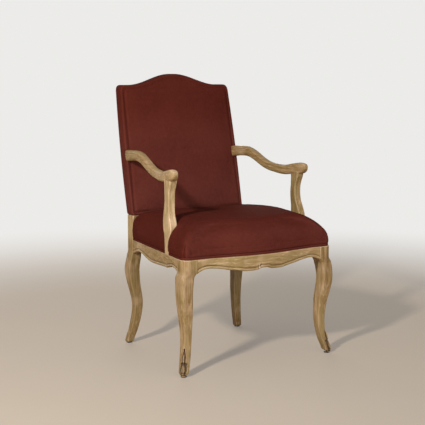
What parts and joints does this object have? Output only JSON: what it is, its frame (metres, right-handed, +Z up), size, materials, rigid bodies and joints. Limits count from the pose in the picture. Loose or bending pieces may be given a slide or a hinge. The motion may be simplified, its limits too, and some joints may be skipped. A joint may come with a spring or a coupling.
{
  "type": "upholstered open armchair",
  "caption": "Open armchair with a bowed scalloped wood frame, cabriole legs, curved arms, a domed fabric seat and a humped upholstered back.",
  "frame": {"origin": "on the floor, under the middle of the chair's bounding box", "axes": "+Z up, -Y towards the front of the chair, +X to the right of someone who looks at its front"},
  "size_m": [0.6478, 0.6789, 1.0263],
  "materials": {
    "limed_oak": "limed and waxed, open grain",
    "frame_wood": "sawn, unfinished",
    "screw_steel": "zinc plated",
    "glide_plastic": "matte",
    "webbing": "woven jute",
    "foam": "open cell foam",
    "cover_fabric": "plain matte weave",
    "lining_fabric": "non-woven cloth"
  },
  "bodies": {
    "root": {"front_leg_left": "limed_oak", "front_leg_right": "limed_oak", "rear_leg_left": "limed_oak", "rear_leg_right": "limed_oak", "front_seat_rail": "limed_oak", "side_seat_rail_left": "limed_oak", "side_seat_rail_right": "limed_oak", "rear_seat_rail": "limed_oak", "lower_back_rail": "limed_oak", "arm_left": "limed_oak", "arm_right": "limed_oak", "arm_support_left": "limed_oak", "arm_support_right": "limed_oak", "crest_rail": "frame_wood", "corner_block_front_left": "frame_wood", "corner_block_front_right": "frame_wood", "corner_block_rear_left": "frame_wood", "corner_block_rear_right": "frame_wood", "block_screw_front_left_front": "screw_steel", "block_screw_front_left_side": "screw_steel", "block_screw_front_right_front": "screw_steel", "block_screw_front_right_side": "screw_steel", "block_screw_rear_left_rear": "screw_steel", "block_screw_rear_left_side": "screw_steel", "block_screw_rear_right_rear": "screw_steel", "block_screw_rear_right_side": "screw_steel", "arm_screw_left": "screw_steel", "arm_screw_right": "screw_steel", "support_screw_left": "screw_steel", "support_screw_right": "screw_steel", "foot_glide_front_left": "glide_plastic", "foot_glide_front_right": "glide_plastic", "foot_glide_rear_left": "glide_plastic", "foot_glide_rear_right": "glide_plastic", "seat_strap_length_1": "webbing", "seat_strap_length_2": "webbing", "seat_strap_length_3": "webbing", "seat_strap_length_4": "webbing", "seat_strap_cross_1": "webbing", "seat_strap_cross_2": "webbing", "seat_strap_cross_3": "webbing", "seat_strap_cross_4": "webbing", "back_strap_1": "webbing", "back_strap_2": "webbing", "back_strap_3": "webbing", "seat_foam": "foam", "back_foam": "foam", "seat_cover": "cover_fabric", "seat_band_front": "cover_fabric", "seat_band_left": "cover_fabric", "seat_band_right": "cover_fabric", "seat_band_rear": "cover_fabric", "back_cover": "cover_fabric", "outside_back": "cover_fabric", "dust_cover": "lining_fabric"}
  },
  "joints": []
}
